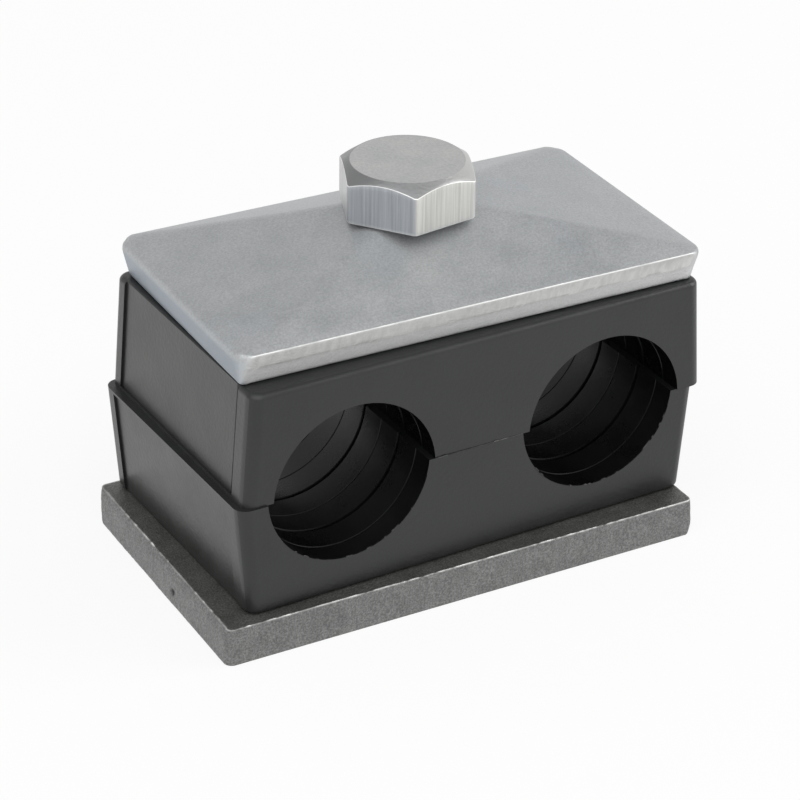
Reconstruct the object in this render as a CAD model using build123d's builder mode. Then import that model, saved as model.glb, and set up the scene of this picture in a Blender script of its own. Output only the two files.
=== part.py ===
# Twin hydraulic tube clamp: two moulded jaw halves hold two parallel tubes between a weld plate
# and a pyramid-pressed cover plate. One central hex bolt draws the stack together.
# +X runs along the clamp from tube to tube, +Y runs along the tubes, +Z points up the bolt.
# The origin is the middle of the clamp's footprint, on the underside of the weld plate.
from build123d import *

import os
from math import atan, cos, radians, sin, tan

os.makedirs("parts", exist_ok=True)

# ---- driving dimensions, millimetres and degrees ----

# tubes and bores
tube_diameter = 17.2
bore_clearance = 0.1  # radial play of a seated tube, jaws closed
bore_spacing = 29.0  # centre to centre
grip_groove_depth = 0.35
grip_groove_width = 0.5
grip_line_depth = 0.1
grip_line_width = 0.2
first_line = 2.6  # from the jaw's front face to the first fine line
grip_pitch = 3.4  # fine lines and grip grooves take turns at this pitch

# jaw halves, both from one mould
half_height = 12.1
jaw_width = 30.0
end_wall = 3.45  # beside each bore at the parting face, before the block is set off
end_draft = 0.95  # each end leans in this far from the parting face to the outer face
block_offset = 0.4  # the block sits this far off the middle of its two bores
corner_round = 1.4
outer_edge_round = 0.6
panel_margin_front = 2.8
panel_margin_back = 2.3
panel_lip = 0.3  # height of the lip left along the parting face
panel_recess = 0.25
bolt_hole_clearance = 0.75  # radial, in the jaws and the cover plate

# weld plate and its pressed-in threaded boss
plate_extra_length = 1.2  # longer and wider than the jaws by this much
plate_extra_width = 1.2
plate_thickness = 4.2
plate_corner = 1.0
plate_edge_round = 0.2
boss_diameter = 12.5
boss_height = 5.0  # above the weld plate
boss_shank_diameter = 10.5
boss_shank_recess = 0.3  # the shank ends this far inside the weld face
boss_chamfer = 0.6
boss_pocket_clearance = 0.4

# cover plate
cover_short_length = 1.0  # shorter and narrower than the jaws by this much
cover_short_width = 0.8
cover_thickness = 3.9
cover_rise = 5.6  # from the rim's top edge to the virtual apex
cover_corner = 1.9
cover_land = 0.5  # flat left on the rim's lower edge
seat_drop = 1.2  # the bolt seat is pressed flat this far under the virtual apex
seat_corner = 0.6

# hex bolt
thread_diameter = 8.0
thread_clearance = 0.05  # radial running fit in the boss
bolt_tip_rise = 1.4  # the tip of the tightened bolt stops this far above the weld face
tip_chamfer = 0.9
across_flats = 12.8
head_height = 5.1
head_flat_diameter = 11.6
head_chamfer_angle = 35.0

# how the loose stack stands
stack_x = 1.0  # bolt axis and bores, from the middle of the footprint
stack_y = 1.0
plate_x = -0.5
plate_y = -0.45
plate_turn = -1.9
cover_slip = 0.6
cover_turn = -2.4
head_turn = 6.5

# ---- derived sizes ----
bore_radius = tube_diameter / 2 + bore_clearance
bolt_hole_radius = thread_diameter / 2 + bolt_hole_clearance
parting_length = bore_spacing + 2 * bore_radius + 2 * end_wall
outer_length = parting_length - 2 * end_draft
plate_length = parting_length + plate_extra_length
plate_width = jaw_width + plate_extra_width
cover_length = parting_length - cover_short_length
cover_width = jaw_width - cover_short_width
parting_z = plate_thickness + half_height
jaw_top_z = parting_z + half_height
side_slope = atan(cover_rise / (cover_width / 2))
end_slope = atan(cover_rise / (cover_length / 2))
rim_height = cover_thickness * cos(side_slope)  # the cut edge stands square to its facet
seat_height = rim_height + cover_rise - seat_drop
seat_share = seat_drop / cover_rise
seat_z = jaw_top_z + seat_height
bolt_length = seat_z - bolt_tip_rise

stack_axis = Axis((stack_x, stack_y, 0), (0, 0, 1))
stack_plane = Plane((stack_x, stack_y, 0))


def finish(piece, name):
    """Labels a finished piece and writes it as one STEP file."""
    piece.part.label = name
    export_step(piece.part, f"parts/{name}.step")


# ---- weld plate: sheared from flat bar, one hole for the boss ----
plate_plane = Plane(Location((plate_x, plate_y, 0), (0, 0, plate_turn)))
with BuildPart() as weld_plate:
    with BuildSketch(plate_plane):
        RectangleRounded(plate_length, plate_width, plate_corner)
    extrude(amount=plate_thickness)
    fillet(weld_plate.faces().sort_by(Axis.Z)[0].edges(), plate_edge_round)
    with BuildSketch(stack_plane):
        Circle(boss_shank_diameter / 2)
    extrude(amount=plate_thickness, mode=Mode.SUBTRACT)
finish(weld_plate, "weld_plate")

# ---- threaded boss: turned, its shank pressed into the weld plate ----
with BuildPart() as nut_boss:
    with BuildSketch(stack_plane.offset(boss_shank_recess)):
        Circle(boss_shank_diameter / 2)
    extrude(amount=plate_thickness - boss_shank_recess)
    with BuildSketch(stack_plane.offset(plate_thickness)):
        Circle(boss_diameter / 2)
    extrude(amount=boss_height)
    chamfer(nut_boss.faces().sort_by(Axis.Z)[-1].edges(), boss_chamfer)
    with BuildSketch(stack_plane):
        Circle(thread_diameter / 2 + thread_clearance)
    extrude(amount=plate_thickness + boss_height, mode=Mode.SUBTRACT)
finish(nut_boss, "nut_boss")


# ---- jaw half: one mould makes both, drawn here with its parting face on Z = 0 ----
def bore_profile():
    """Points of half a bore's section as (radius, place along the tube), open towards the axis."""
    end = jaw_width / 2
    points = [(0, -end), (bore_radius, -end)]
    place, strong = first_line - end, False
    while place < end - grip_groove_width:
        width = grip_groove_width if strong else grip_line_width
        depth = grip_groove_depth if strong else grip_line_depth
        points.append((bore_radius, place - width / 2))
        points.append((bore_radius + depth, place - width / 4))
        points.append((bore_radius + depth, place + width / 4))
        points.append((bore_radius, place + width / 2))
        place, strong = place + grip_pitch, not strong
    return points + [(bore_radius, end), (0, end)]


def moulded_half():
    """The jaw half below its parting face: a block with drafted ends, two half bores, a shallow
    panel sunk in each end, a bolt hole and a pocket that clears the threaded boss."""
    side = [
        (-block_offset - parting_length / 2, 0),
        (-block_offset + parting_length / 2, 0),
        (-block_offset + outer_length / 2, -half_height),
        (-block_offset - outer_length / 2, -half_height),
    ]
    panel_width = jaw_width - panel_margin_front - panel_margin_back
    panel_middle = (panel_margin_front - panel_margin_back) / 2
    panel_top = parting_length / 2 - end_draft * panel_lip / half_height - panel_recess
    panel_foot = outer_length / 2 - panel_recess
    with BuildPart() as half:
        with BuildSketch(Plane.XZ):
            Polygon(*side, align=None)
        extrude(amount=jaw_width / 2, both=True)
        upright = [e for e in half.edges() if abs(e.tangent_at(0.5).Z) > 0.9]
        fillet(upright, corner_round)
        fillet(half.faces().sort_by(Axis.Z)[0].edges(), outer_edge_round)
        with BuildSketch(Plane.XZ.offset(-panel_middle)):
            for way in (-1, 1):
                Polygon(
                    (-block_offset + way * panel_top, -panel_lip),
                    (-block_offset + way * parting_length, -panel_lip),
                    (-block_offset + way * parting_length, -half_height),
                    (-block_offset + way * panel_foot, -half_height),
                    align=None,
                )
        extrude(amount=panel_width / 2, both=True, mode=Mode.SUBTRACT)
        for bore_x in (-bore_spacing / 2, bore_spacing / 2):
            with BuildSketch(Plane((bore_x, 0, 0))):
                Polygon(*bore_profile(), align=None)
            revolve(axis=Axis((bore_x, 0, 0), (0, 1, 0)), mode=Mode.SUBTRACT)
        with BuildSketch(Plane.XY):
            Circle(bolt_hole_radius)
        extrude(amount=-half_height, mode=Mode.SUBTRACT)
        with BuildSketch(Plane.XY.offset(-half_height)):
            Circle(boss_diameter / 2 + boss_pocket_clearance)
        extrude(amount=boss_height + boss_pocket_clearance, mode=Mode.SUBTRACT)
    return half.part


jaw_half = moulded_half()

# ---- lower jaw: the half as moulded, stood on the weld plate ----
with BuildPart() as lower_jaw:
    add(jaw_half.moved(Location((stack_x, stack_y, parting_z))))
finish(lower_jaw, "lower_jaw")

# ---- upper jaw: the same moulding turned over ----
with BuildPart() as upper_jaw:
    add(jaw_half.moved(Location((stack_x, stack_y, parting_z), (0, 180, 0))))
finish(upper_jaw, "upper_jaw")


# ---- cover plate: blanked and pressed into a low four-sided pyramid, hollow beneath ----
def rounded_section(plane, length, width, corner):
    """One rounded rectangle of a loft."""
    with BuildSketch(plane) as section:
        RectangleRounded(length, width, corner)
    return section.sketch


cover_plane = Plane(Location((stack_x + cover_slip, stack_y, jaw_top_z), (0, 0, cover_turn)))
foot_length = cover_length - 2 * cover_thickness * sin(end_slope)
foot_width = cover_width - 2 * cover_thickness * sin(side_slope)
seat_length = cover_length * seat_share
seat_width = cover_width * seat_share
wall_drop = cover_thickness / cos(side_slope)  # the wall measured straight down
with BuildPart() as cover_plate:
    foot = rounded_section(cover_plane, foot_length, foot_width, cover_corner)
    rim = rounded_section(cover_plane.offset(rim_height), cover_length, cover_width, cover_corner)
    seat = rounded_section(cover_plane.offset(seat_height), seat_length, seat_width, seat_corner)
    loft([foot, rim], ruled=True)
    loft([rim, seat], ruled=True)
    hollow_foot = rounded_section(
        cover_plane, foot_length - 2 * cover_land, foot_width - 2 * cover_land, cover_corner
    )
    hollow_top = rounded_section(
        cover_plane.offset(seat_height - wall_drop), seat_length, seat_width, seat_corner
    )
    loft([hollow_foot, hollow_top], ruled=True, mode=Mode.SUBTRACT)
    with BuildSketch(cover_plane):
        Circle(bolt_hole_radius)
    extrude(amount=seat_height, mode=Mode.SUBTRACT)
finish(cover_plate, "cover_plate")

# ---- hex bolt: forged head, fully threaded shank ----
head_plane = Plane(Location((stack_x, stack_y, seat_z), (0, 0, head_turn)))
corner_radius = across_flats / 2 / cos(radians(30))
head_flat_radius = head_flat_diameter / 2
chamfer_fall = (corner_radius - head_flat_radius) * tan(radians(head_chamfer_angle))
with BuildPart() as hex_bolt:
    with BuildSketch(head_plane):
        RegularPolygon(across_flats / 2, 6, major_radius=False)
    extrude(amount=head_height)
    with BuildSketch(Plane((stack_x, stack_y, seat_z), x_dir=(1, 0, 0), z_dir=(0, -1, 0))):
        Polygon(
            (head_flat_radius, head_height),
            (corner_radius, head_height),
            (corner_radius, head_height - chamfer_fall),
            align=None,
        )
    revolve(axis=stack_axis, mode=Mode.SUBTRACT)
    with BuildSketch(head_plane):
        Circle(thread_diameter / 2)
    extrude(amount=-bolt_length)
    chamfer(hex_bolt.faces().sort_by(Axis.Z)[0].edges(), tip_chamfer)
finish(hex_bolt, "hex_bolt")
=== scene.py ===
from math import cos, pi, radians, sin, tan

import bmesh
import bpy
import numpy as np
from mathutils import Matrix, Vector


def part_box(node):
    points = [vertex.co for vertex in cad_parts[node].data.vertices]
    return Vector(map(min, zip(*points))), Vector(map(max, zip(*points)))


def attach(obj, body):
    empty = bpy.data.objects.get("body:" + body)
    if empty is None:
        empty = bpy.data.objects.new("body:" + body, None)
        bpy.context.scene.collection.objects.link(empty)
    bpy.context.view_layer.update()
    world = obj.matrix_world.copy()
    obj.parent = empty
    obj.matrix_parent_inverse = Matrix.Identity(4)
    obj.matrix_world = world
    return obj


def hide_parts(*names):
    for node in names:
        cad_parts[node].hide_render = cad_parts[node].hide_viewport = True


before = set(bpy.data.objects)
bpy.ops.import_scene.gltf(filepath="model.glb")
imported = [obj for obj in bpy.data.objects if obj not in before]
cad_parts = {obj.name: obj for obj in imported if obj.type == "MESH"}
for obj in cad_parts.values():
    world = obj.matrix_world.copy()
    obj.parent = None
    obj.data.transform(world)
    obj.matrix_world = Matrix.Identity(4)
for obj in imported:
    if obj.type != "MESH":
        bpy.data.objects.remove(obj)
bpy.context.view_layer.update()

# ---- weld plate ----
# Flat steel bar, sheared to length and welded to the structure later. Shearing leaves rolled
# ends, a bright burr along the top edges and dull grey mottling on the faces.
MM = 0.001
STACK_X, STACK_Y = 1.0, 1.0  # bolt axis, millimetres from the middle of the footprint
PLATE_LENGTH, PLATE_WIDTH, PLATE_CORNER = 54.5, 31.2, 1.0
PLATE_TURN = -1.9
SHANK_RADIUS = 5.25
PLATE_FOOT = ((0, 0.36), (0, 0.2), (0.02, 0.1), (0.08, 0.03), (0.2, 0))  # height, inset
PLATE_CREST = ((0.15, 0.005), (0.05, 0.02), (0.01, 0.05))  # depth under the top face, inset
PLATE_TOP_INSETS = (0.09, 0.14, 0.2, 0.28, 0.36, 0.45)
BURR_HEIGHT, BURR_INSET, BURR_SPREAD = 0.05, 0.09, 0.1
RIGHT_TOP_LEAN, RIGHT_FOOT_LEAN = 0.42, 0.58  # how far the right end leans in at top and foot
LEFT_ROLL = 0.32  # how far the left end's upper edge is drawn in
WALL_STANDOFF, FACE_STANDOFF = 0.045, 0.02  # keep the rough wall inside the plain plate
CHIP_REACH, CHIP_DEPTH = 0.5, 0.35
PIT_PLACE, PIT_RADIUS, PIT_DEPTH = (-27.25, -3.0, 1.6), 0.35, 0.2  # a pit in the left end


def box_mm(name):
    """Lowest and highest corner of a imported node, in millimetres."""
    low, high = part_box(name)
    return np.array(low) / MM, np.array(high) / MM


def smooth_noise(points, cell, seed):
    """Random values on a lattice of that cell size, one per corner, blended with the smooth step
    3t^2 - 2t^3 along each axis. Gives one value from -1 to 1 for each point."""
    table = np.random.default_rng(seed).uniform(-1, 1, 4096)
    scaled = np.asarray(points) / cell + 500
    base = np.floor(scaled).astype(int)
    part = scaled - base
    part = part * part * (3 - 2 * part)
    total = np.zeros(scaled.shape[:-1])
    for corner in np.ndindex(2, 2, 2):
        pick = table[((base + corner) @ np.array((1, 57, 3249))) % 4096]
        total += pick * np.prod(np.where(corner, part, 1 - part), axis=-1)
    return total


def rounded_outline(length, width, corner, spacing):
    """Points and outward normals anticlockwise round a rounded rectangle: four quarter circles of
    the corner radius joined by straights, all divided at about the spacing."""
    turn = np.linspace(0, pi / 2, max(int(corner * pi / 2 / spacing), 6) + 1)
    reach = np.array((length / 2 - corner, width / 2 - corner))
    points, normals = [], []
    for quarter in range(4):
        angle = turn + quarter * pi / 2
        arc = np.stack((np.cos(angle), np.sin(angle)), -1)
        way = np.array(((1, 1), (-1, 1), (-1, -1), (1, -1))[quarter])
        nodes = reach * way + corner * arc
        run = 2 * reach[quarter % 2]
        steps = int(run / spacing)
        along = np.array((-sin(angle[-1]), cos(angle[-1])))
        straight = nodes[-1] + along * run * (np.arange(1, steps) / steps)[:, None]
        points += [nodes, straight]
        normals += [arc, np.repeat(arc[-1:], steps - 1, axis=0)]
    return np.concatenate(points), np.concatenate(normals)


def turned(points, turn, centre):
    """Points turned about the upright axis by that many degrees, then moved to the centre."""
    c, s = cos(radians(turn)), sin(radians(turn))
    x, y = points[..., 0], points[..., 1]
    out = np.array(points, float)
    out[..., 0], out[..., 1] = c * x - s * y + centre[0], s * x + c * y + centre[1]
    return out


def grid_piece(name, grid, wrap_rows=False, poles=None, sharp=35, marks=None):
    """A mesh from a grid of points in millimetres. Neighbouring points are joined by four-sided
    faces, the last column to the first, and the last row to the first where asked; poles are two
    points that close the first and the last row with fans. Marks are values kept on the points."""
    rows, cols = grid.shape[:2]
    index = np.arange(rows * cols).reshape(rows, cols)
    near = index if wrap_rows else index[:-1]
    far = np.roll(index, -1, axis=0) if wrap_rows else index[1:]
    quads = np.stack((near, np.roll(near, -1, 1), np.roll(far, -1, 1), far), -1).reshape(-1, 4)
    points, faces = grid.reshape(-1, 3), quads.tolist()
    if poles is not None:
        points = np.concatenate((points, np.array(poles, float)))
        first, last = rows * cols, rows * cols + 1
        faces += [(first, int(b), int(a)) for a, b in zip(index[0], np.roll(index[0], -1))]
        faces += [(last, int(a), int(b)) for a, b in zip(index[-1], np.roll(index[-1], -1))]
    mesh = bpy.data.meshes.new(name)
    mesh.from_pydata((points * MM).tolist(), [], faces)
    mesh.shade_smooth()
    mesh.set_sharp_from_angle(angle=radians(sharp))
    for mark, values in (marks or {}).items():
        held = mesh.attributes.new(mark, "FLOAT", "POINT")
        flat = np.zeros(len(points), np.float32)
        flat[: rows * cols] = np.asarray(values, np.float32).ravel()
        held.data.foreach_set("value", flat)
    piece = bpy.data.objects.new(name, mesh)
    bpy.context.scene.collection.objects.link(piece)
    return piece


def shader_node(tree, kind, inputs=(), **settings):
    """One shader node with its settings; inputs pairs sockets with a value or an output."""
    made = tree.nodes.new(kind)
    for key, value in settings.items():
        setattr(made, key, value)
    for key, value in dict(inputs).items():
        if isinstance(value, bpy.types.NodeSocket):
            tree.links.new(value, made.inputs[key])
        else:
            made.inputs[key].default_value = value
    return made


def finish_material(name, metallic, **plain):
    """A new material with one Principled shader; returns it with its tree and the shader."""
    made = bpy.data.materials.new(name)
    made.use_nodes = True
    shader = made.node_tree.nodes["Principled BSDF"]
    shader.inputs["Metallic"].default_value = metallic
    for key, value in plain.items():
        shader.inputs[key.replace("_", " ")].default_value = value
    return made, made.node_tree, shader


def mottling_group():
    """Group for patchy surfaces: soft patches and fine grain at two scales, in object space."""
    tree = bpy.data.node_groups.new("mottling", "ShaderNodeTree")
    for label, value in (("Patch Scale", 300.0), ("Grain Scale", 3000.0), ("Stretch", 1.0)):
        socket = tree.interface.new_socket(label, in_out="INPUT", socket_type="NodeSocketFloat")
        socket.default_value = value
    for label in ("Patches", "Grain"):
        tree.interface.new_socket(label, in_out="OUTPUT", socket_type="NodeSocketFloat")
    given = shader_node(tree, "NodeGroupInput").outputs
    place = shader_node(tree, "ShaderNodeTexCoord").outputs["Object"]
    upright = {"X": 1.0, "Y": 1.0, "Z": given["Stretch"]}
    squeeze = shader_node(tree, "ShaderNodeCombineXYZ", upright).outputs[0]
    place = shader_node(
        tree, "ShaderNodeVectorMath", {0: place, 1: squeeze}, operation="MULTIPLY"
    ).outputs[0]
    patches = shader_node(
        tree,
        "ShaderNodeTexNoise",
        {"Vector": place, "Scale": given["Patch Scale"], "Detail": 5.0, "Roughness": 0.6},
    )
    grain = shader_node(
        tree,
        "ShaderNodeTexNoise",
        {"Vector": place, "Scale": given["Grain Scale"], "Detail": 3.0, "Roughness": 0.55},
    )
    out = shader_node(tree, "NodeGroupOutput")
    tree.links.new(patches.outputs["Fac"], out.inputs["Patches"])
    tree.links.new(grain.outputs["Fac"], out.inputs["Grain"])
    return tree


mottling = mottling_group()


def mottled(tree, patch_scale, grain_scale, stretch=1.0):
    """The mottling group placed in a material with its own scales: patches and grain."""
    placed = shader_node(tree, "ShaderNodeGroup", node_tree=mottling)
    placed.inputs["Patch Scale"].default_value = patch_scale
    placed.inputs["Grain Scale"].default_value = grain_scale
    placed.inputs["Stretch"].default_value = stretch
    return placed.outputs["Patches"], placed.outputs["Grain"]


def ramp(tree, fac, *stops):
    """A colour ramp: stops are (position, grey or colour) pairs."""
    made = shader_node(tree, "ShaderNodeValToRGB", {"Fac": fac})
    points = made.color_ramp.elements
    while len(points) < len(stops):
        points.new(0.5)
    for point, (place, colour) in zip(points, stops):
        shade = (colour,) * 3 if isinstance(colour, float) else colour
        point.position, point.color = place, (*shade, 1)
    return made.outputs["Color"]


def mixed(tree, fac, first, second, blend="MIX"):
    """Two colours mixed by a mask."""
    given = {0: fac, 6: first, 7: second}
    made = shader_node(tree, "ShaderNodeMix", given, data_type="RGBA", blend_type=blend)
    return made.outputs[2]


def marked(tree, mark):
    """A value kept on the points of the piece."""
    return shader_node(tree, "ShaderNodeAttribute", attribute_name=mark).outputs["Fac"]


def bumped(tree, shader, height, distance, strength=1.0):
    """Wires a height to the shader's normal."""
    given = {"Height": height, "Distance": distance, "Strength": strength}
    bump = shader_node(tree, "ShaderNodeBump", given)
    tree.links.new(bump.outputs["Normal"], shader.inputs["Normal"])


def sheared_plate():
    """The profile of the sheared edge carried round the plate's rounded outline: underside, sharp
    lower edge, sheared wall, burr, top face. The first and the last row lie on the hole. One end
    was rolled over by the shear: its wall leans out towards a rounded foot."""
    low, high = box_mm("weld_plate")
    middle = (low + high)[:2] / 2
    height = high[2]
    outline, normals = rounded_outline(PLATE_LENGTH, PLATE_WIDTH, PLATE_CORNER, 0.2)
    wall = [(rise, 0) for rise in np.linspace(0.4, height - 0.35, 16)]
    crest = [(height - drop, inset) for drop, inset in PLATE_CREST]
    top = [(height, inset) for inset in PLATE_TOP_INSETS]
    rise, inset = np.array((*PLATE_FOOT, *wall, *crest, *top)).T
    lift = np.exp(-(((inset - BURR_INSET) / BURR_SPREAD) ** 2)) * (rise > height - 0.1)
    share = rise / height
    rolled = np.clip(normals[:, 0], 0, 1) ** 1.5
    sheared = np.clip(-normals[:, 0], 0, 1) ** 6
    lean = RIGHT_TOP_LEAN * np.clip((share - 0.3) / 0.7, 0, 1) ** 1.3
    lean = lean + RIGHT_FOOT_LEAN * np.clip(1 - share / 0.3, 0, 1) ** 2
    roll = LEFT_ROLL * np.clip((share - 0.65) / 0.35, 0, 1) ** 2
    on_side = (rise > 0.05) & (inset < 0.06)
    place = np.stack(
        np.broadcast_arrays(outline[None, :, 0], outline[None, :, 1], rise[:, None]), -1
    )
    level = place * (1, 1, 0)
    depth = inset[:, None] + lean[:, None] * rolled + roll[:, None] * sheared
    rough = 0.025 * smooth_noise(place, 3.5, 1) + 0.02 * smooth_noise(place, 0.9, 2)
    rough += 0.018 * smooth_noise(place, 0.42, 3)
    depth += np.where(on_side[:, None], np.maximum(rough + WALL_STANDOFF, 0), FACE_STANDOFF)
    chips = np.clip(smooth_noise(level, 0.8, 5) - 0.55, 0, 1) * (0.5 + 0.8 * sheared)
    near_top = np.clip(1 - (height - rise) / CHIP_REACH, 0, 1) * on_side
    depth += CHIP_DEPTH * chips * near_top[:, None]
    gap = np.linalg.norm(place - np.array(PIT_PLACE), axis=-1) / PIT_RADIUS
    pit = np.exp(-(gap**2))
    depth += PIT_DEPTH * pit
    nick = 0.8 + 0.7 * smooth_noise(level, 1.3, 6) + 0.5 * smooth_noise(level, 0.4, 7)
    nick = np.clip(nick, 0, 1)
    specks = np.clip(2.4 * smooth_noise(level, 0.6, 8) - 0.35, 0, 1)
    nick = nick * (1 - 0.7 * (rolled + sheared)) + specks * (rolled + sheared)
    flat = outline[None] - depth[..., None] * normals[None]
    burr = lift[:, None] * nick
    body = np.concatenate((flat, (rise[:, None] + BURR_HEIGHT * burr)[..., None]), -1)
    body = turned(body, PLATE_TURN, middle)
    axis = np.array((STACK_X, STACK_Y))
    spoke = body[0, :, :2] - axis
    ring = axis + spoke / np.linalg.norm(spoke, axis=1, keepdims=True) * SHANK_RADIUS
    under = np.concatenate((ring, np.zeros((len(ring), 1))), -1)
    over = np.concatenate((ring, np.full((len(ring), 1), height)), -1)
    grid = np.concatenate((under[None], body, over[None]))
    ring_zero = np.zeros((1, len(ring)))
    side = on_side[:, None] * np.ones(len(ring))
    marks = {"burr": burr, "sheared": side, "pit": np.clip(1.8 * pit, 0, 1) * side}
    marks = {key: np.concatenate((ring_zero, held, ring_zero)) for key, held in marks.items()}
    return grid, marks


def raw_steel():
    """Dull grey steel with a fine sparkling grain; the burr is bright, the face under the clamp is
    darker than the sheared walls, which have faint upright marks."""
    made, tree, shader = finish_material("raw_sheared_steel", 0.75)
    patches, grain = mottled(tree, 420.0, 5200.0)
    streaks, sparkle = mottled(tree, 1900.0, 9000.0, 0.25)
    face = ramp(tree, patches, (0.3, (0.115, 0.116, 0.11)), (0.7, (0.18, 0.181, 0.172)))
    wall = ramp(tree, patches, (0.3, (0.18, 0.183, 0.179)), (0.7, (0.215, 0.217, 0.212)))
    colour = mixed(tree, marked(tree, "sheared"), face, wall)
    speck = ramp(tree, grain, (0.36, 0.6), (0.5, 0.95), (0.66, 1.35))
    colour = mixed(tree, 0.8, colour, speck, "MULTIPLY")
    streak = ramp(tree, streaks, (0.35, 0.85), (0.65, 1.12))
    colour = mixed(tree, 0.6, colour, streak, "MULTIPLY")
    colour = mixed(tree, marked(tree, "pit"), colour, (0.02, 0.02, 0.02, 1))
    burr = marked(tree, "burr")
    colour = mixed(tree, burr, colour, (0.8, 0.8, 0.78, 1))
    tree.links.new(colour, shader.inputs["Base Color"])
    rough = ramp(tree, sparkle, (0.3, 0.36), (0.7, 0.6))
    rough = mixed(tree, burr, rough, (0.3, 0.3, 0.3, 1))
    tree.links.new(rough, shader.inputs["Roughness"])
    bumped(tree, shader, grain, 0.00007)
    return made


grid, marks = sheared_plate()
weld_plate = grid_piece("sheared_weld_plate", grid, wrap_rows=True, marks=marks)
weld_plate.data.materials.append(raw_steel())
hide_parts("weld_plate")
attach(weld_plate, "base")


# ---- threaded boss ----
# Turned steel bush pressed into the weld plate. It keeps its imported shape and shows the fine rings
# of turning.
def turned_steel():
    """Grey steel with fine level turning rings."""
    made, tree, shader = finish_material("turned_boss_steel", 0.9)
    patches, rings = mottled(tree, 400.0, 90.0, 90.0)
    colour = ramp(tree, patches, (0.3, (0.3, 0.3, 0.295)), (0.7, (0.42, 0.42, 0.41)))
    tree.links.new(colour, shader.inputs["Base Color"])
    tree.links.new(ramp(tree, rings, (0.3, 0.3), (0.7, 0.45)), shader.inputs["Roughness"])
    bumped(tree, shader, rings, 0.00004)
    return made


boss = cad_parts["nut_boss"]
boss.data.materials.clear()
boss.data.materials.append(turned_steel())

# ---- jaw halves ----
# Two equal mouldings in black polypropylene, laid face to face. Untightened, each half bore is a
# little wide and shallow, and the loose halves sit a little apart along the clamp.
BORE_SPACING, BORE_RADIUS = 29.0, 8.7
FREE_RADIUS, FREE_RISE = 9.04, 0.69
WALL_LOW, WALL_HIGH = BORE_RADIUS - 0.02, BORE_RADIUS + 0.4  # walls and groove floors lie here
LOOSE_SHIFT = 0.42  # each half stands off by this much, the lower one to the left
UPPER_TURN = -0.5
JAW_FRONT = STACK_Y - 15.0
JAW_HALF_WIDTH = 14.9  # just short of the front and back faces
PANEL_FRONT = JAW_FRONT + 2.8  # front edge of the sunk panel in each end
PAINTED_SHADE_STRIP = 0.64  # width of the strip of painted shade along that edge
END_FACING = 0.9  # faces that point along X more than this belong to an end
CREASE_ANGLE = 28
SEAM_FROM, SEAM_TO = -BORE_SPACING / 2 + 9.3, BORE_SPACING / 2 - 9.6  # between the bores
FLASH_REACH, BORE_FLASH_REACH = 0.14, 0.15
FIN_FRONT, FIN_BACK, FIN_ROOT = 0.05, 0.15, 0.04  # section of a flash fin
PARTING_Z = box_mm("lower_jaw")[1][2]


def relaxed_bores(points, side):
    """Bore wall points moved from a half circle on the parting face to the arc of the free
    moulding: a wider circle whose middle lies FREE_RISE past the parting face. Angles are scaled
    so that the ends of the arc stay on the face. Side is 1 above the parting face, -1 below. Also
    tells which points were moved."""
    out = points.copy()
    touched = np.zeros(len(points), bool)
    start = np.arcsin(FREE_RISE / FREE_RADIUS)
    for middle in (-BORE_SPACING / 2, BORE_SPACING / 2):
        x = points[:, 0] - STACK_X - middle
        z = (points[:, 2] - PARTING_Z) * side
        reach = np.hypot(x, z)
        wall = (reach > WALL_LOW) & (reach < WALL_HIGH)
        angle = np.arctan2(np.maximum(z, 0), x)
        angle = start + angle * (pi - 2 * start) / pi
        far = reach - BORE_RADIUS + FREE_RADIUS
        rise = np.where(z < 0.01, 0, np.maximum(far * np.sin(angle) - FREE_RISE, 0))
        out[wall, 0] = (STACK_X + middle + LOOSE_SHIFT * side + far * np.cos(angle))[wall]
        out[wall, 2] = (PARTING_Z + side * rise)[wall]
        touched |= wall
    return out, touched


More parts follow.
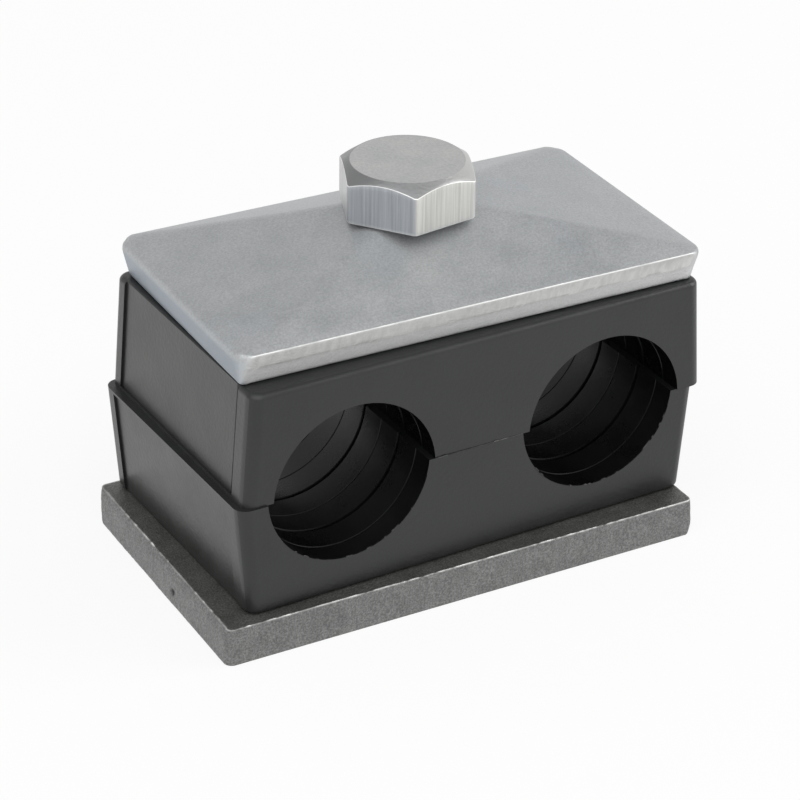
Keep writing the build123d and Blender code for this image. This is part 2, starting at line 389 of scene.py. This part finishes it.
def moulded_jaw(name, node, side, turn, skins):
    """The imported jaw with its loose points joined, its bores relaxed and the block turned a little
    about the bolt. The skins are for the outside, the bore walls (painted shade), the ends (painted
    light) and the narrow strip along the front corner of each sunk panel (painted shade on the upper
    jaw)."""
    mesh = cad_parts[node].data.copy()
    mesh.name = name
    work = bmesh.new()
    work.from_mesh(mesh)
    bmesh.ops.remove_doubles(work, verts=work.verts, dist=1e-6)
    ends = [face for face in work.faces if abs(face.normal.x) > END_FACING]
    around = {part for face in ends for part in (*face.verts, *face.edges)}
    cut = Vector((0, (PANEL_FRONT + PAINTED_SHADE_STRIP) * MM, 0))
    bmesh.ops.bisect_plane(work, geom=[*ends, *around], plane_co=cut, plane_no=(0, 1, 0))
    work.to_mesh(mesh)
    work.free()
    for left in ("custom_normal", "sharp_edge", "sharp_face"):
        if left in mesh.attributes:
            mesh.attributes.remove(mesh.attributes[left])
    points = np.empty(len(mesh.vertices) * 3)
    mesh.vertices.foreach_get("co", points)
    mesh.materials.clear()
    for skin in skins:
        mesh.materials.append(skin)
    points, touched = relaxed_bores(points.reshape(-1, 3) / MM, side)
    mesh.vertices.foreach_set("co", (points * MM).ravel())
    mesh.update()
    for face in mesh.polygons:
        centre = np.array(face.center) / MM - (STACK_X, 0, PARTING_Z)
        inward = np.array((np.sign(centre[0]) * BORE_SPACING / 2 - centre[0], 0, -centre[2]))
        facing = np.array(face.normal) @ (inward / np.linalg.norm(inward))
        across = abs(face.normal.y) > 0.3 and abs(centre[1] - STACK_Y) < JAW_HALF_WIDTH
        on_wall = touched[list(face.vertices)].all() and (facing > 0.5 or across)
        at_end = abs(face.normal.x) > END_FACING
        in_corner = at_end and 0 < centre[1] - PANEL_FRONT < PAINTED_SHADE_STRIP
        face.material_index = 1 if on_wall else 3 if in_corner else 2 if at_end else 0
    axis = np.array((STACK_X, STACK_Y))
    points[:, :2] -= axis
    mesh.vertices.foreach_set("co", (turned(points, turn, axis) * MM).ravel())
    mesh.update()
    mesh.shade_smooth()
    mesh.set_sharp_from_angle(angle=radians(CREASE_ANGLE))
    piece = bpy.data.objects.new(name, mesh)
    bpy.context.scene.collection.objects.link(piece)
    level = piece.modifiers.new("flat faces stay flat", "WEIGHTED_NORMAL")
    level.keep_sharp = True
    level.weight = 80
    return piece


def satin_polypropylene(name, darkest, palest, gloss, smooth, dull, peel=0.00003):
    """Black moulded plastic with a satin skin: faint cloudy patches of gloss and a fine peel."""
    made, tree, shader = finish_material(name, 0.0, Specular_IOR_Level=gloss)
    patches, grain = mottled(tree, 160.0, 2200.0)
    colour = ramp(tree, patches, (0.3, darkest), (0.7, palest))
    tree.links.new(colour, shader.inputs["Base Color"])
    tree.links.new(ramp(tree, patches, (0.3, smooth), (0.7, dull)), shader.inputs["Roughness"])
    bumped(tree, shader, grain, peel)
    return made


def ragged_flash(name, path, inward, reach, seed):
    """A thin fin of squeezed-out plastic along a line of points: a four-sided section whose tip
    stands inward by a random reach, closed at both ends."""
    run = np.concatenate(([0], np.cumsum(np.linalg.norm(np.diff(path, axis=0), axis=1))))
    line = np.stack((run, 0 * run, 0 * run), -1)
    tall = 0.55 * smooth_noise(line, 1.1, seed) + 0.75 * smooth_noise(line, 0.3, seed + 1)
    tall = reach * np.clip(tall, 0.02, 1)[:, None]
    deep = np.array((0.0, 1.0, 0.0))
    tip, root = path + inward * tall, path - inward * FIN_ROOT
    section = (path - FIN_FRONT * deep, tip, path + FIN_BACK * deep, root)
    grid = np.stack(section, 1)
    return grid_piece(name, grid, poles=(path[0], path[-1]))


polypropylene = satin_polypropylene(
    "satin_black_polypropylene",
    (0.007, 0.0075, 0.0074),
    (0.011, 0.0118, 0.0115),
    gloss=0.58,
    smooth=0.33,
    dull=0.45,
)
# Painted shade: the bore walls are painted much darker than the body, standing in for the shade
# inside the bores.
bore_painted_shade_skin = satin_polypropylene(
    "bore_painted_shade_polypropylene",
    (0.0012, 0.0012, 0.0013),
    (0.003, 0.003, 0.0032),
    gloss=0.34,
    smooth=0.24,
    dull=0.33,
    peel=0.000008,
)
flash_skin = satin_polypropylene(
    "whitened_flash",
    (0.015, 0.015, 0.015),
    (0.16, 0.16, 0.155),
    gloss=0.5,
    smooth=0.4,
    dull=0.6,
)
# Painted light: the ends are painted lighter and glossier than the body, as lit ends.
end_painted_light_skin = satin_polypropylene(
    "end_painted_light_polypropylene",
    (0.011, 0.0115, 0.011),
    (0.016, 0.0168, 0.016),
    gloss=0.78,
    smooth=0.3,
    dull=0.4,
)
# Painted shade: a near-black strip along the front edge of the sunk panels, where the step throws
# shade.
corner_painted_shade_skin = satin_polypropylene(
    "panel_corner_painted_shade_polypropylene",
    (0.003, 0.003, 0.003),
    (0.004, 0.004, 0.004),
    gloss=0.2,
    smooth=0.4,
    dull=0.5,
)
# The upper jaw's panel strips take the painted shade; the lower jaw's take the ends' painted light.
for name, node, side, turn, body, corner in (
    ("moulded_lower_jaw", "lower_jaw", -1, 0, "base", end_painted_light_skin),
    ("moulded_upper_jaw", "upper_jaw", 1, UPPER_TURN, "lid", corner_painted_shade_skin),
):
    jaw = moulded_jaw(name, node, side, turn, (polypropylene, bore_painted_shade_skin, end_painted_light_skin, corner))
    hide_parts(node)
    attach(jaw, body)

seam = np.linspace(SEAM_FROM, SEAM_TO, 90) + STACK_X
seam = np.stack((seam, np.full(90, JAW_FRONT - 0.04), np.full(90, PARTING_Z)), -1)
up_front = np.array((0.0, -0.3, 0.95))
flashes = [ragged_flash("parting_flash", seam, up_front, FLASH_REACH, 31)]
flashes[0].data.materials.append(flash_skin)
for side, middle, seed in (("left", -BORE_SPACING / 2, 41), ("right", BORE_SPACING / 2, 51)):
    around = np.radians(np.linspace(215, 345, 220))[:, None]
    spoke = np.concatenate((np.cos(around), 0 * around, np.sin(around)), -1)
    centre = np.array((STACK_X + middle - LOOSE_SHIFT, JAW_FRONT - 0.02, PARTING_Z + FREE_RISE))
    rim = centre + spoke * FREE_RADIUS
    bore_flash = ragged_flash(f"{side}_bore_flash", rim, -spoke, BORE_FLASH_REACH, seed)
    bore_flash.data.materials.append(polypropylene)
    flashes.append(bore_flash)
for flash in flashes:
    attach(flash, "base")

# ---- cover plate ----
# Blanked from steel sheet, pressed into a low four-sided pyramid and zinc plated. The cut edge
# has a smooth burnished band over a rougher fracture band; the pressed creases are soft.
COVER_LENGTH, COVER_WIDTH, COVER_CORNER = 52.3, 29.2, 1.9
COVER_TURN = -2.4
COVER_RISE, COVER_RIM, SEAT_RISE = 5.6, 3.6413, 4.4
COVER_WALL, COVER_LAND = 4.177, 0.5
LEAN_END, LEAN_SIDE = 0.8166, 1.3967
HOLE_RADIUS = 4.75
CREASE = 0.35  # softness of the pressed creases, as a height
COVER_FOOT = ((0.0, 0.25), (0.04, 0.13), (0.12, 0.05), (0.25, 0.01))  # height, inset
CRISP_RIM = (  # depth under the rim, inset
    (0.3, 0), (0.18, 0.005), (0.1, 0.02), (0.05, 0.045), (0.02, 0.085), (0.0, 0.13), (-0.02, 0.19),
)
ROLLED_RIM = (
    (1.0, 0), (0.72, 0.03), (0.48, 0.1), (0.28, 0.2), (0.12, 0.36), (0.01, 0.56), (-0.05, 0.8),
)
BREAK_RISE = 1.95  # the sheet broke below this height of its cut edge
HIGHLIGHT_INSET, HIGHLIGHT_SPREAD = 0.095, 0.075  # the painted highlight line lies this far in from the front's edge
PAINTED_TONE_SPAN = 0.6  # a painted tone of 0 to 1 stands for a painted brightness of 0.7 to 1.3


def soft_least(first, second, blend):
    """The lesser of two heights, with a round of that height where they cross."""
    share = np.clip(0.5 + (second - first) / (2 * blend), 0, 1)
    return second * (1 - share) + first * share - blend * share * (1 - share)


def pressed_cover():
    """The plate's section carried round its rounded outline: hollow underside, foot, leaning cut
    edge, rolled rim, four facets, flat seat. Facet height = rise * (1 - distance / half size), the
    lesser of the end and side facets with a soft crease, capped at the seat."""
    low, high = box_mm("cover_plate")
    middle = (low + high)[:2] / 2
    outline, normals = rounded_outline(COVER_LENGTH, COVER_WIDTH, COVER_CORNER, 0.3)
    lean = LEAN_END * normals[:, 0] ** 2 + LEAN_SIDE * normals[:, 1] ** 2
    profiles = []
    for rim in (CRISP_RIM, ROLLED_RIM):
        wall = [(rise, 0) for rise in np.linspace(0.45, COVER_RIM - rim[0][0] - 0.1, 14)]
        round_off = [(COVER_RIM - drop, inset) for drop, inset in rim]
        profiles.append(np.array((*COVER_FOOT, *wall, *round_off), float))
    cross = np.abs(normals[:, 0] * normals[:, 1])
    at_end = np.clip(np.abs(normals[:, 0]) ** 3 + 1.5 * cross, 0, 1)[None]
    edge = profiles[0][:, :1] * (1 - at_end) + profiles[1][:, :1] * at_end
    roll = profiles[0][:, 1:] * (1 - at_end) + profiles[1][:, 1:] * at_end
    flat_place = np.broadcast_to(outline[None], (*edge.shape, 2))
    place = np.concatenate((flat_place, edge[..., None]), -1)
    line = place[0] * (1, 1, 0)
    at_front = np.clip(-normals[:, 1], 0, 1)[None]
    broke = BREAK_RISE + 0.12 * smooth_noise(line, 2.5, 11) + 0.05 * smooth_noise(line, 0.5, 17)
    fracture = np.clip((broke - edge) / 0.12, 0, 1) * at_front**2
    fall = np.clip((COVER_RIM - edge) / (COVER_RIM - broke), 0, 1) * (edge > broke)
    # Painted light on the front cut edge: darker towards the right end, lighter down the burnished
    # band and lighter again towards the foot, lifting the shade there.
    along = 0.5 + outline[None, :, 0] / COVER_LENGTH
    upper_painted_tone = (0.86 + 0.25 * fall) * (1.08 - 0.18 * along)
    broken = 0.84 + 0.36 * (1 - edge / broke)
    painted_tone = 0.5 + (np.where(edge > broke, upper_painted_tone, broken) - 1) / PAINTED_TONE_SPAN
    rough = 0.012 * smooth_noise(place * (1, 1, 0.15), 0.6, 12)
    rough += 0.015 * smooth_noise(place, 3.0, 13)
    rough += fracture * (0.02 + 0.03 * smooth_noise(place, 0.5, 14))
    rough = np.maximum(rough, 0) * (roll < 0.1)
    depth = lean[None] * (1 - edge / COVER_RIM) + roll + rough
    wall = outline[None] - depth[..., None] * normals[None]
    centre = turned(np.array((STACK_X, STACK_Y)) - middle, -COVER_TURN, (0, 0))
    spoke = outline - centre
    ring = centre + spoke / np.linalg.norm(spoke, axis=1, keepdims=True) * HOLE_RADIUS
    share = np.linspace(0, 1, 44)[1:, None, None] ** 0.9
    top = wall[-1][None] * (1 - share) + ring[None] * share
    ends = COVER_RISE * (1 - np.abs(top[..., 0]) / (COVER_LENGTH / 2))
    sides = COVER_RISE * (1 - np.abs(top[..., 1]) / (COVER_WIDTH / 2))
    facets = soft_least(soft_least(ends, sides, CREASE), SEAT_RISE, CREASE * 0.4)
    dents = np.stack((top[..., 0], top[..., 1], 0 * facets), -1)
    facets = facets + 0.03 * smooth_noise(dents, 6.0, 15) * np.minimum(share[..., 0] * 8, 1)
    top_rise = COVER_RIM + np.minimum(facets, SEAT_RISE)
    half_foot = np.array((COVER_LENGTH / 2 - LEAN_END, COVER_WIDTH / 2 - LEAN_SIDE)) - COVER_LAND
    share = np.linspace(1, 0, 20)[:, None, None]
    inner = (outline - (lean + COVER_LAND)[:, None] * normals)[None]
    under = inner * (1 - share) + ring[None] * share
    peak = COVER_RIM + SEAT_RISE - COVER_WALL
    seat = np.array((COVER_LENGTH, COVER_WIDTH)) * (1 - SEAT_RISE / COVER_RISE) / 2
    slopes = peak * (half_foot - np.abs(under)) / (half_foot - seat)
    under_rise = soft_least(soft_least(slopes[..., 0], slopes[..., 1], 0.2), peak, 0.1)
    under_rise = np.clip(under_rise, 0, peak)
    under_rise[-1] = 0
    flat = np.concatenate((under, wall, top))
    rise = np.concatenate((under_rise, edge, top_rise))
    grid = np.concatenate((flat, (rise + low[2])[..., None]), -1)
    rows = (len(under), len(wall), len(top))
    zero = [np.zeros((count, len(outline))) for count in rows]
    # A painted highlight: a near-white line along the front's rounded top edge.
    painted_highlight = np.clip(1.25 - np.abs(roll - HIGHLIGHT_INSET) / HIGHLIGHT_SPREAD, 0, 1)
    painted_highlight = painted_highlight * (edge > COVER_RIM / 2) * (1 - at_end)
    painted_highlight = painted_highlight * np.clip(0.85 + 0.5 * smooth_noise(line, 1.3, 16), 0, 1)
    painted_highlight = painted_highlight * np.clip(at_front * 1.3, 0, 1)
    marks = {
        "cut": np.concatenate((zero[0], np.clip(1 - roll / 0.05, 0, 1), zero[2])),
        "fracture": np.concatenate((zero[0], fracture, zero[2])),
        # The front's share carries the upright marks and painted light.
        "front_marks_and_painted_light": np.concatenate((zero[0], zero[1] + at_front**2, zero[2])),
        "painted_highlight": np.concatenate((zero[0], painted_highlight, zero[2])),
        # The painted tone: painted light on the front cut edge.
        "painted_tone": np.concatenate((zero[0], np.clip(painted_tone, 0, 1), zero[2])),
    }
    return turned(grid, COVER_TURN, middle), marks


def dull_zinc():
    """Dull zinc plating: cloudy grey with faint blue patches and scuffs. The front cut edge is
    painted brighter than the other cut edges as painted light, with upright marks, a painted tone
    and a painted highlight line near its top; it is darker and rougher where the sheet broke."""
    made, tree, shader = finish_material("dull_zinc_plate", 0.8)
    patches, grain = mottled(tree, 170.0, 4600.0)
    clouds, _ = mottled(tree, 70.0, 500.0)
    streaks, _ = mottled(tree, 1700.0, 5000.0, 0.1)
    face = ramp(tree, patches, (0.3, (0.4, 0.415, 0.428)), (0.7, (0.48, 0.49, 0.496)))
    face = mixed(tree, ramp(tree, clouds, (0.55, 0.0), (0.75, 0.3)), face, (0.41, 0.45, 0.51, 1))
    face = mixed(tree, 0.5, face, ramp(tree, grain, (0.35, 0.78), (0.65, 1.2)), "MULTIPLY")
    streak = ramp(tree, streaks, (0.35, (0.56, 0.56, 0.55)), (0.65, (0.68, 0.68, 0.665)))
    broken = mixed(tree, grain, (0.47, 0.475, 0.48, 1), (0.74, 0.74, 0.73, 1))
    # Painted light: the front cut edge takes a lighter, streaked colour with real upright marks; the
    # other cut edges take a darker bluish grey.
    side = mixed(tree, marked(tree, "front_marks_and_painted_light"), (0.33, 0.37, 0.41, 1), streak)
    cut = mixed(tree, marked(tree, "fracture"), side, broken)
    # Painted light: the painted tone brightens or darkens the front cut edge.
    dark, bright = 1 - PAINTED_TONE_SPAN / 2, 1 + PAINTED_TONE_SPAN / 2
    shade = ramp(tree, marked(tree, "painted_tone"), (0.0, dark), (1.0, bright))
    cut = mixed(tree, marked(tree, "front_marks_and_painted_light"), cut, mixed(tree, 1.0, cut, shade, "MULTIPLY"))
    held = mixed(tree, marked(tree, "cut"), (0.8, 0.8, 0.8, 1), (0.5, 0.5, 0.5, 1))
    held = mixed(tree, marked(tree, "fracture"), held, (0.1, 0.1, 0.1, 1))
    tree.links.new(held, shader.inputs["Metallic"])
    colour = mixed(tree, marked(tree, "cut"), face, cut)
    # Painted highlight along the front's top edge.
    colour = mixed(tree, marked(tree, "painted_highlight"), colour, (0.97, 0.97, 0.95, 1))
    tree.links.new(colour, shader.inputs["Base Color"])
    tree.links.new(ramp(tree, patches, (0.3, 0.38), (0.7, 0.5)), shader.inputs["Roughness"])
    bumped(tree, shader, grain, 0.00004)
    return made


grid, marks = pressed_cover()
cover = grid_piece("pressed_cover_plate", grid, wrap_rows=True, marks=marks)
cover.data.materials.append(dull_zinc())
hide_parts("cover_plate")
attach(cover, "lid")

# ---- hex bolt ----
# Forged steel bolt with a fully rolled thread, zinc plated. The forging is trimmed upright, which
# leaves fine lines on the flats, and the top is chamfered to a round flat.
BOLT_Z = box_mm("cover_plate")[1][2]
FLAT_REACH, HEAD_HEIGHT, TOP_RADIUS = 6.4, 5.1, 5.8
HEAD_TURN = 6.5
CHAMFER = tan(radians(35))
THREAD_RADIUS, THREAD_DEPTH, THREAD_PITCH = 4.0, 0.62, 1.25
THREAD_START = 1.2  # plain run-out below the head
TIP_CHAMFER = 0.9
# Rows of the head's lower edge: height, inset, how much painted highlight it carries.
HEAD_FOOT = ((0.0, 0.2, 0.5), (0.06, 0.09, 0.55), (0.16, 0.03, 0.5), (0.24, 0.0, 0.3))
PAINTED_LIGHT_SIDE = -31.0  # the chamfer is painted palest towards this side, as painted light, degrees
FLAT_PAINTED_TONES = (0.6, 0.5, 0.5, 0.0, 1.0, 0.7)  # painted light: how bright each flat is painted, for what it reflects
FLAT_ROWS = 10
CHAMFER_SHARES = (0.06, 0.5, 0.94, 1.0)  # rows of the chamfer, from its edge to the round flat
TOP_RINGS = (TOP_RADIUS - 0.12, 4.6, 3.2, 1.6)


def headed_bolt():
    """One closed skin from the tip to the top of the head. Thread radius = outer radius - depth *
    rounded saw of (height / pitch - turn). Head radius = flat reach / cos(angle from the middle
    of the flat), eased at the corners; each flat ends on the chamfer cone, so its upper edge is
    an arc."""
    low = box_mm("hex_bolt")[0][2]
    turn = np.linspace(0, 2 * pi, 145)[:-1]
    height = np.arange(low + 0.02, BOLT_Z - 0.02, 0.1)
    phase = (height[:, None] / THREAD_PITCH - turn / (2 * pi)) % 1
    saw = np.clip(np.abs(phase * 2 - 1) * 1.5 - 0.2, 0, 1)
    fade = np.clip((BOLT_Z - THREAD_START - height) / 0.8, 0, 1)[:, None]
    radius = THREAD_RADIUS - THREAD_DEPTH * (1 - saw * fade)
    radius = np.minimum(radius, THREAD_RADIUS - TIP_CHAMFER + (height - low)[:, None])
    angle = (turn - radians(HEAD_TURN)) % (pi / 3) - pi / 6
    hexagon = soft_least(FLAT_REACH / np.cos(angle), FLAT_REACH / cos(pi / 6) - 0.04, 0.08)
    crease = HEAD_HEIGHT - (hexagon - TOP_RADIUS) * CHAMFER
    rows = [(0 * turn + rise, hexagon - inset, highlight_share) for rise, inset, highlight_share in HEAD_FOOT]
    for share in np.linspace(0.03, 1, FLAT_ROWS):
        rows.append((0.3 + (crease - 0.36) * share, hexagon, 0))
    rows.append((crease, hexagon - 0.02, 1))
    for share in CHAMFER_SHARES:
        rise = crease + (HEAD_HEIGHT - crease) * share
        rows.append((rise, hexagon + (TOP_RADIUS - hexagon) * share, 0))
    rows += [(0 * turn + HEAD_HEIGHT, 0 * turn + far, 0) for far in TOP_RINGS]
    head_rise = np.array([row[0] for row in rows]) + BOLT_Z
    head_reach = np.array([row[1] for row in rows])
    neck = np.full_like(turn, THREAD_RADIUS - 0.3)
    shank_rise = np.broadcast_to(height[:, None], radius.shape)
    rise = np.concatenate((shank_rise, [0 * turn + BOLT_Z], head_rise))
    reach = np.concatenate((radius, [neck], head_reach))
    grid = np.stack((STACK_X + reach * np.cos(turn), STACK_Y + reach * np.sin(turn), rise), -1)
    poles = ((STACK_X, STACK_Y, low), (STACK_X, STACK_Y, BOLT_Z + HEAD_HEIGHT))
    first = len(height) + 1
    last = first + len(HEAD_FOOT) + FLAT_ROWS + 1
    sloped = slice(last, last + len(CHAMFER_SHARES))
    on_flat, edge, painted_tone, slope = (np.zeros(reach.shape) for _ in range(4))
    on_flat[first + 1 : last] = 1
    edge[first:] = np.array([row[2] for row in rows])[:, None]
    # Painted light: each flat and the chamfer are painted lighter or darker as light falls on them.
    painted_tone[first:] = np.array(FLAT_PAINTED_TONES)[((turn - radians(HEAD_TURN)) // (pi / 3) % 6).astype(int)]
    slope[sloped] = 1
    painted_tone[sloped] = np.clip(np.cos(turn - radians(PAINTED_LIGHT_SIDE)), 0, 1) ** 1.5
    return grid, poles, {"trimmed": on_flat, "edge": edge, "painted_tone": painted_tone, "chamfer": slope}


def bright_zinc():
    """Bright zinc plating: the flats carry fine upright lines and painted light, each its own
    brightness;
    the edges carry a painted highlight; the chamfer is duller, with painted light palest on one
    side."""
    made, tree, shader = finish_material("bright_zinc_bolt", 0.9)
    patches, grain = mottled(tree, 350.0, 3200.0)
    lines, _ = mottled(tree, 4200.0, 9000.0, 0.02)
    face = ramp(tree, patches, (0.3, (0.5, 0.505, 0.51)), (0.7, (0.6, 0.6, 0.59)))
    face = mixed(tree, 0.5, face, ramp(tree, grain, (0.35, 0.8), (0.65, 1.05)), "MULTIPLY")
    # Painted light: the chamfer is painted palest on its lit side.
    sloped = mixed(tree, marked(tree, "painted_tone"), (0.25, 0.253, 0.256, 1), (0.56, 0.56, 0.55, 1))
    face = mixed(tree, marked(tree, "chamfer"), face, sloped)
    # Painted light on the flats, by their painted tone.
    flat = mixed(tree, marked(tree, "painted_tone"), (0.42, 0.44, 0.465, 1), (0.68, 0.675, 0.645, 1))
    flat = mixed(tree, 1.0, flat, ramp(tree, lines, (0.35, 0.84), (0.62, 1.08)), "MULTIPLY")
    colour = mixed(tree, marked(tree, "trimmed"), face, flat)
    # Painted highlight: the lower edge and the crease under the chamfer are painted near white.
    colour = mixed(tree, marked(tree, "edge"), colour, (0.9, 0.895, 0.88, 1))
    tree.links.new(colour, shader.inputs["Base Color"])
    tree.links.new(ramp(tree, patches, (0.3, 0.34), (0.7, 0.46)), shader.inputs["Roughness"])
    height = mixed(tree, marked(tree, "trimmed"), grain, lines)
    bumped(tree, shader, height, 0.00003)
    return made


grid, poles, marks = headed_bolt()
bolt = grid_piece("forged_hex_bolt", grid, poles=poles, marks=marks, sharp=30)
bolt.data.materials.append(bright_zinc())
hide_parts("hex_bolt")
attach(bolt, "bolt")

# ---- stage ----
# A plain white floor that shows white to the camera and to shiny surfaces and keeps a soft shadow,
# under an even white surround.
FLOOR_SIZE = 3.0
FLOOR_GLOW = 0.87  # share of plain white in the floor, the rest is matt and takes the shadow
SURROUND_LIGHT = 0.55
CEILING = 0.48  # what shiny surfaces see straight up, against 1 at the horizon
BACKDROP = 0.94  # what the camera sees past the floor: the tone of the floor's far end


def seen_by_camera_or_gloss(tree):
    """1 for camera, glossy and transmission rays."""
    path = shader_node(tree, "ShaderNodeLightPath").outputs
    given = {0: path["Is Camera Ray"], 1: path["Is Glossy Ray"]}
    first = shader_node(tree, "ShaderNodeMath", given, operation="MAXIMUM").outputs[0]
    given = {0: first, 1: path["Is Transmission Ray"]}
    return shader_node(tree, "ShaderNodeMath", given, operation="MAXIMUM").outputs[0]


def white_floor():
    """Matt white, mixed with plain white light for the camera and for shiny surfaces."""
    made = bpy.data.materials.new("white_floor")
    made.use_nodes = True
    tree = made.node_tree
    tree.nodes.clear()
    matt = shader_node(tree, "ShaderNodeBsdfDiffuse", {"Color": (0.85, 0.85, 0.85, 1)})
    white = shader_node(tree, "ShaderNodeEmission", {"Color": (1, 1, 1, 1), "Strength": 1.0})
    given = {0: seen_by_camera_or_gloss(tree), 1: FLOOR_GLOW}
    share = shader_node(tree, "ShaderNodeMath", given, operation="MULTIPLY").outputs[0]
    given = {0: share, 1: matt.outputs[0], 2: white.outputs[0]}
    both = shader_node(tree, "ShaderNodeMixShader", given)
    out = shader_node(tree, "ShaderNodeOutputMaterial")
    tree.links.new(both.outputs[0], out.inputs["Surface"])
    return made


half = FLOOR_SIZE / 2
floor_mesh = bpy.data.meshes.new("floor")
corners = [(-half, -half, 0), (half, -half, 0), (half, half, 0), (-half, half, 0)]
floor_mesh.from_pydata(corners, [], [(0, 1, 2, 3)])
floor = bpy.data.objects.new("floor", floor_mesh)
bpy.context.scene.collection.objects.link(floor)
floor.data.materials.append(white_floor())

world = bpy.data.worlds.new("white_surround")
bpy.context.scene.world = world
world.use_nodes = True
tree = world.node_tree
direction = shader_node(tree, "ShaderNodeTexCoord").outputs["Generated"]
height = shader_node(tree, "ShaderNodeSeparateXYZ", {0: direction}).outputs["Z"]
span = {"Value": height, "From Min": 0.0, "From Max": 1.0, "To Min": 1.0, "To Max": CEILING}
shiny = shader_node(tree, "ShaderNodeMapRange", span).outputs[0]
lit = {0: seen_by_camera_or_gloss(tree), 2: SURROUND_LIGHT, 3: shiny}
lit = shader_node(tree, "ShaderNodeMix", lit).outputs[0]
straight = shader_node(tree, "ShaderNodeLightPath").outputs["Is Camera Ray"]
level = shader_node(tree, "ShaderNodeMix", {0: straight, 2: lit, 3: BACKDROP})
background = tree.nodes["Background"]
background.inputs["Color"].default_value = (1, 1, 1, 1)
tree.links.new(level.outputs[0], background.inputs["Strength"])


def soft_lamp(name, place, size, power):
    """A square soft lamp aimed at the middle of the clamp."""
    lamp = bpy.data.lights.new(name, "AREA")
    lamp.size, lamp.energy = size, power
    held = bpy.data.objects.new(name, lamp)
    held.location = place
    aim = Vector((0, 0, 0.02)) - Vector(place)
    held.rotation_euler = aim.to_track_quat("-Z", "Y").to_euler()
    bpy.context.scene.collection.objects.link(held)
    return held


soft_lamp("key_lamp", (-0.35, -0.45, 0.75), 1.3, 6.6)
soft_lamp("fill_lamp", (0.7, -0.35, 0.45), 0.5, 2.5)
bpy.context.scene.view_settings.view_transform = "Standard"

# ---- camera ----
# Looks down on the front left corner of the clamp.
CAMERA_TURN, CAMERA_RISE, CAMERA_ROLL = radians(-31.04), radians(29.16), radians(0.935)
CAMERA_DISTANCE = 0.29887
CAMERA_AIM = Vector((-0.233, -0.4, 15.181)) * MM
CAMERA_LENS = 130.65

back = Vector(
    (
        sin(CAMERA_TURN) * cos(CAMERA_RISE),
        -cos(CAMERA_TURN) * cos(CAMERA_RISE),
        sin(CAMERA_RISE),
    )
)
right = Vector((cos(CAMERA_TURN), sin(CAMERA_TURN), 0))
up = back.cross(right)
rolled_right = right * cos(CAMERA_ROLL) + up * sin(CAMERA_ROLL)
rolled_up = up * cos(CAMERA_ROLL) - right * sin(CAMERA_ROLL)
lens = bpy.data.cameras.new("camera")
lens.lens, lens.sensor_width = CAMERA_LENS, 36.0
lens.clip_start, lens.clip_end = 0.01, 20.0
camera = bpy.data.objects.new("camera", lens)
stand = Matrix((rolled_right, rolled_up, back)).transposed().to_4x4()
stand.translation = CAMERA_AIM + back * CAMERA_DISTANCE
camera.matrix_world = stand
bpy.context.scene.collection.objects.link(camera)
bpy.context.scene.camera = camera
